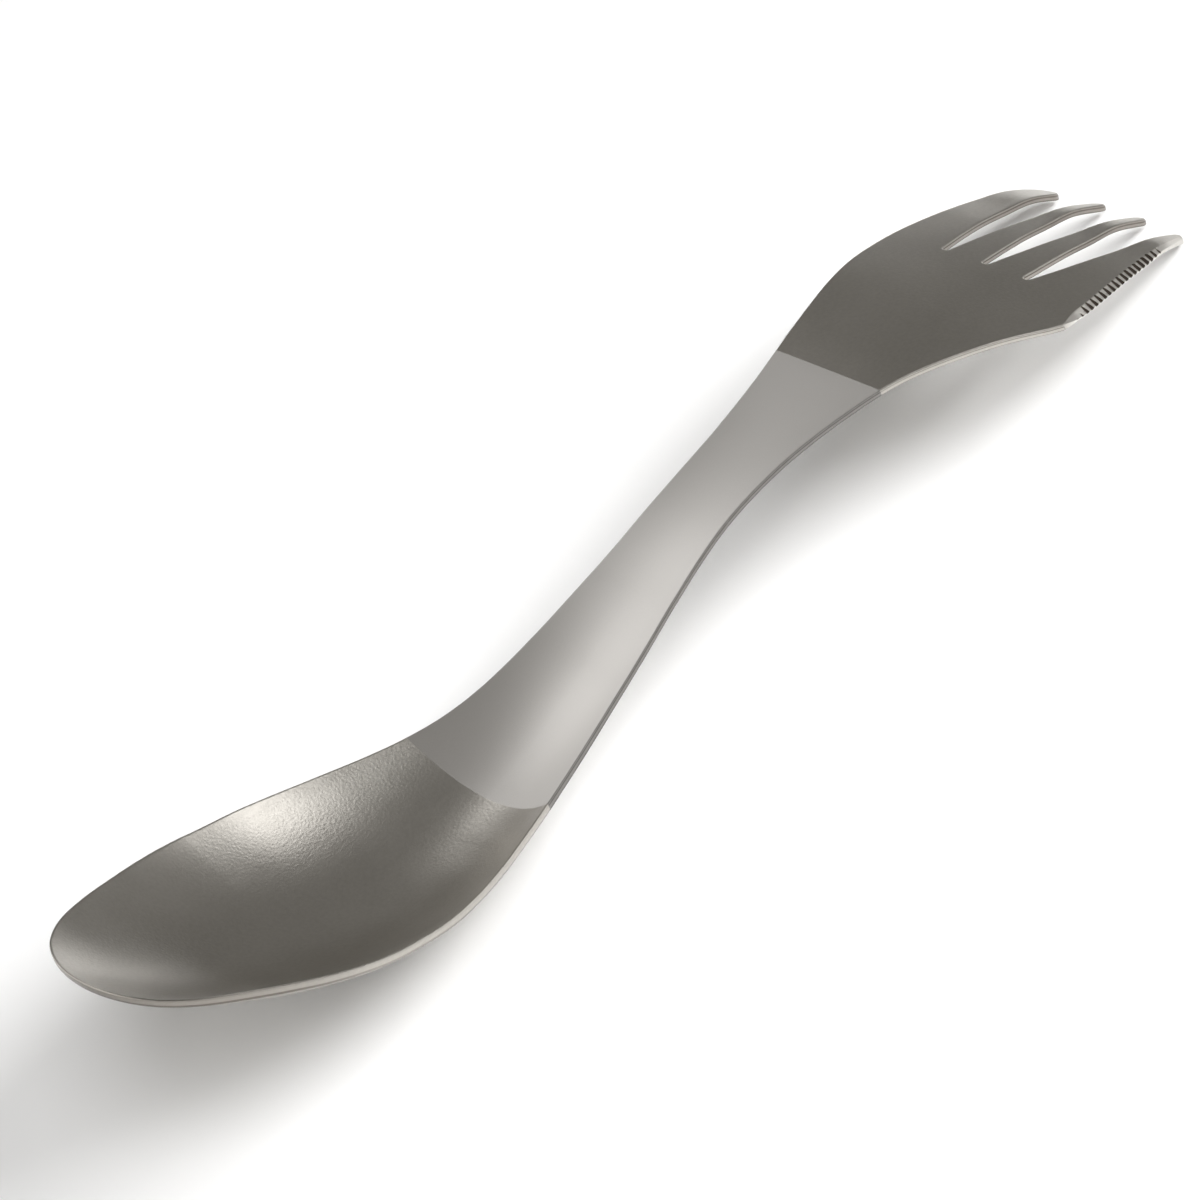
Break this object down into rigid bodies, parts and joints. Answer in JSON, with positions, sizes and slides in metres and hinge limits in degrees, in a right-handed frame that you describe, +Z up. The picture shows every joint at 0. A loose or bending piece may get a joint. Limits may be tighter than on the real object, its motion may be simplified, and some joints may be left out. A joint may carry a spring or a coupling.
{
  "type": "spork",
  "caption": "One-piece pressed titanium spork: a deep polished spoon bowl, a blasted channelled handle that rises to a crest, and a polished fork with one serrated edge.",
  "frame": {"origin": "centre of the footprint on the table, under the middle of the length and width", "axes": "+X along the length from the spoon tip to the tine tips, +Y towards the plain edge of the fork and away from the serrated edge, +Z up from the table"},
  "size_m": [0.17, 0.038, 0.0235],
  "materials": {
    "polished_titanium": "bright polished bare titanium, warm grey, with fine handling scratches",
    "blasted_titanium": "matte bead-blasted bare titanium, light warm grey"
  },
  "bodies": {
    "root": {"spoon_bowl": "polished_titanium", "handle": "blasted_titanium", "fork_head": "polished_titanium"}
  },
  "joints": []
}
